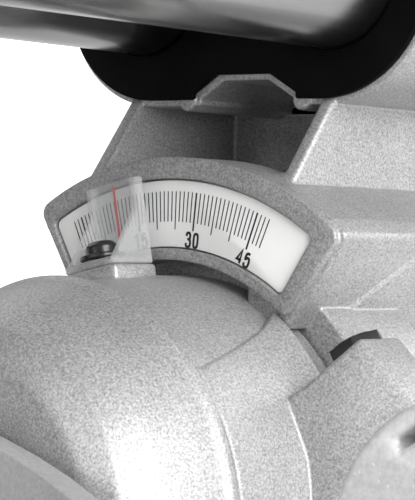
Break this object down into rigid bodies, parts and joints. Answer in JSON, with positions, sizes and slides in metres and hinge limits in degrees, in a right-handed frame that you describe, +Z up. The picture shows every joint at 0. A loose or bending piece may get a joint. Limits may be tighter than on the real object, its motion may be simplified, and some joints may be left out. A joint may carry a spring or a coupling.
{
  "type": "cordless sliding mitre saw",
  "caption": "Sliding mitre saw with a turning table, a tilting arm with an angle scale, twin rails, a hinged guarded blade head and a battery.",
  "frame": {"origin": "mitre axis on the bench plane, at the bottom of the base's centre foot", "axes": "+X to the operator's right along the fence, +Y away from the operator, +Z up"},
  "size_m": [0.509, 0.743, 0.4714],
  "materials": {
    "cast_silver": "fine metallic grain over die-cast aluminium",
    "smooth_cast": "smooth light grey die-cast aluminium",
    "machined_table": "machined top with fine turning lines",
    "scale_plate": "off-white enamel with black printed marks",
    "zinc_steel": "zinc plated",
    "black_steel": "black oxide, satin",
    "rail_chrome": "hard chrome, fine lengthwise streaks",
    "black_plastic": "matt moulded plastic",
    "end_plate_black": "very dark fine-grained plastic",
    "grip_plastic": "soft moulded grip",
    "shell_plastic": "dark grey moulded shell",
    "red_plastic": "moulded plastic",
    "foot_rubber": "moulded rubber",
    "clear_plastic": "clear moulded plastic",
    "smoked_guard": "smoked transparent plastic",
    "winding_copper": "enamelled winding",
    "blade_steel": "ground steel with tipped teeth"
  },
  "bodies": {
    "base": {"base_casting": "cast_silver", "fence_casting": "smooth_cast", "mitre_scale": "scale_plate", "mitre_pivot_bolt": "zinc_steel", "foot_front_left": "foot_rubber", "foot_front_right": "foot_rubber", "foot_rear_left": "foot_rubber", "foot_rear_right": "foot_rubber"},
    "table": {"turntable": "machined_table", "kerf_plate": "black_plastic", "mitre_pointer": "red_plastic", "bevel_hub": "cast_silver", "bevel_pivot_bolt": "zinc_steel", "bevel_pointer": "clear_plastic", "pointer_screw": "black_steel", "stop_bolt_upright": "black_steel", "stop_bolt_tilted": "black_steel"},
    "mitre_lock": {"mitre_lock_rod": "zinc_steel", "mitre_lock_handle": "black_plastic"},
    "detent": {"detent_lever": "zinc_steel"},
    "bevel_lever": {"bevel_lock_lever": "black_plastic"},
    "arm": {"tilt_arm": "cast_silver", "scale_plate": "scale_plate", "front_seal_plate": "end_plate_black", "rear_seal_plate": "end_plate_black", "rail_bushing_left": "zinc_steel", "rail_bushing_right": "zinc_steel"},
    "rail_knob": {"rail_lock_knob": "black_plastic"},
    "carriage": {"rail_left": "rail_chrome", "rail_right": "rail_chrome", "rear_bridge": "end_plate_black", "head_yoke": "cast_silver", "chop_pin": "zinc_steel", "return_spring": "zinc_steel"},
    "latch": {"head_latch_pin": "black_plastic"},
    "head": {"head_casting": "cast_silver", "gear_case": "cast_silver", "gear_cover": "shell_plastic", "motor_housing": "shell_plastic", "motor_stator": "winding_copper", "handle_left": "grip_plastic", "handle_right": "grip_plastic", "battery_foot": "shell_plastic", "work_lamp": "clear_plastic", "dust_spout": "black_plastic"},
    "guard": {"lower_guard": "smoked_guard"},
    "blade": {"saw_blade": "blade_steel", "inner_flange": "zinc_steel", "outer_flange": "zinc_steel", "arbor_bolt": "black_steel", "spindle": "zinc_steel", "drive_gear": "zinc_steel"},
    "rotor": {"motor_rotor": "zinc_steel"},
    "trigger": {"trigger": "red_plastic"},
    "lock_off": {"lock_off_button": "red_plastic"},
    "battery": {"battery_pack": "grip_plastic"},
    "fence_right": {"sliding_fence_right": "smooth_cast"},
    "fence_left": {"sliding_fence_left": "smooth_cast"},
    "knob_right": {"fence_knob_right": "black_plastic"},
    "knob_left": {"fence_knob_left": "black_plastic"}
  },
  "joints": [
    {"name": "mitre", "type": "hinge", "parent": "base", "child": "table", "pos_m": [0, 0, 0], "axis": [0, 0, 1], "range_deg": [-48, 48]},
    {"name": "bevel", "type": "hinge", "parent": "table", "child": "arm", "pos_m": [0, 0.164, 0.062], "axis": [0, -1, 0], "range_deg": [-14, 36]},
    {"name": "slide", "type": "slide", "parent": "arm", "child": "carriage", "axis": [0, -1, 0], "range_m": [-0.135, 0.065]},
    {"name": "chop", "type": "hinge", "parent": "carriage", "child": "head", "pos_m": [-0.0316, 0.013, 0.21068], "axis": [0.9781, 0, 0.2079], "range_deg": [0, 42], "stiffness_Nm_per_rad": 14, "springref_deg": -74.48},
    {"name": "guard_swing", "type": "hinge", "parent": "head", "child": "guard", "pos_m": [-0.0483, -0.1569, 0.28924], "axis": [0.9781, 0, 0.2079], "range_deg": [0, 151]},
    {"name": "blade_spin", "type": "hinge", "parent": "head", "child": "blade", "pos_m": [-0.0483, -0.1569, 0.28924], "axis": [0.9781, 0, 0.2079], "continuous": true},
    {"name": "motor_spin", "type": "hinge", "parent": "head", "child": "rotor", "pos_m": [-0.05242, -0.1024, 0.30864], "axis": [0.9781, 0, 0.2079], "continuous": true},
    {"name": "trigger_press", "type": "slide", "parent": "head", "child": "trigger", "axis": [-0.1545, 0.6691, 0.7269], "range_m": [0, 0.005], "stiffness_N_per_m": 500, "springref_m": -0.003},
    {"name": "lock_off_press", "type": "slide", "parent": "head", "child": "lock_off", "axis": [0.9781, 0, 0.2079], "range_m": [0, 0.004], "stiffness_N_per_m": 500, "springref_m": -0.003},
    {"name": "battery_lift", "type": "slide", "parent": "head", "child": "battery", "axis": [-0.1545, 0.6691, 0.7269], "range_m": [0, 0.125]},
    {"name": "latch_push", "type": "slide", "parent": "carriage", "child": "latch", "axis": [-0.9781, 0, -0.2079], "range_m": [0, 0.012]},
    {"name": "rail_lock", "type": "hinge", "parent": "arm", "child": "rail_knob", "pos_m": [0.03732, 0.234, 0.17503], "axis": [0.9781, 0, 0.2079], "range_deg": [0, 180]},
    {"name": "bevel_lock", "type": "hinge", "parent": "table", "child": "bevel_lever", "pos_m": [0, 0.2, 0.062], "axis": [0, 1, 0], "range_deg": [-30, 30]},
    {"name": "mitre_lock_turn", "type": "hinge", "parent": "table", "child": "mitre_lock", "pos_m": [0, -0.34, 0.043], "axis": [0, 1, 0], "range_deg": [0, 360]},
    {"name": "detent_press", "type": "hinge", "parent": "table", "child": "detent", "pos_m": [0, -0.25, 0.03], "axis": [1, 0, 0], "range_deg": [0, 3], "stiffness_Nm_per_rad": 10, "springref_deg": -8.59},
    {"name": "fence_slide_right", "type": "slide", "parent": "base", "child": "fence_right", "axis": [1, 0, 0], "range_m": [-0.02, 0.06]},
    {"name": "fence_slide_left", "type": "slide", "parent": "base", "child": "fence_left", "axis": [-1, 0, 0], "range_m": [-0.02, 0.06]},
    {"name": "fence_clamp_right", "type": "hinge", "parent": "base", "child": "knob_right", "pos_m": [0.196, 0.03, 0.082], "axis": [0, 1, 0], "range_deg": [0, 180]},
    {"name": "fence_clamp_left", "type": "hinge", "parent": "base", "child": "knob_left", "pos_m": [-0.196, 0.03, 0.082], "axis": [0, 1, 0], "range_deg": [0, 180]}
  ],
  "couplings": [
    {"joint": "guard_swing", "follows": "chop", "ratio": 3.5714},
    {"joint": "motor_spin", "follows": "blade_spin", "ratio": -3.1429}
  ]
}
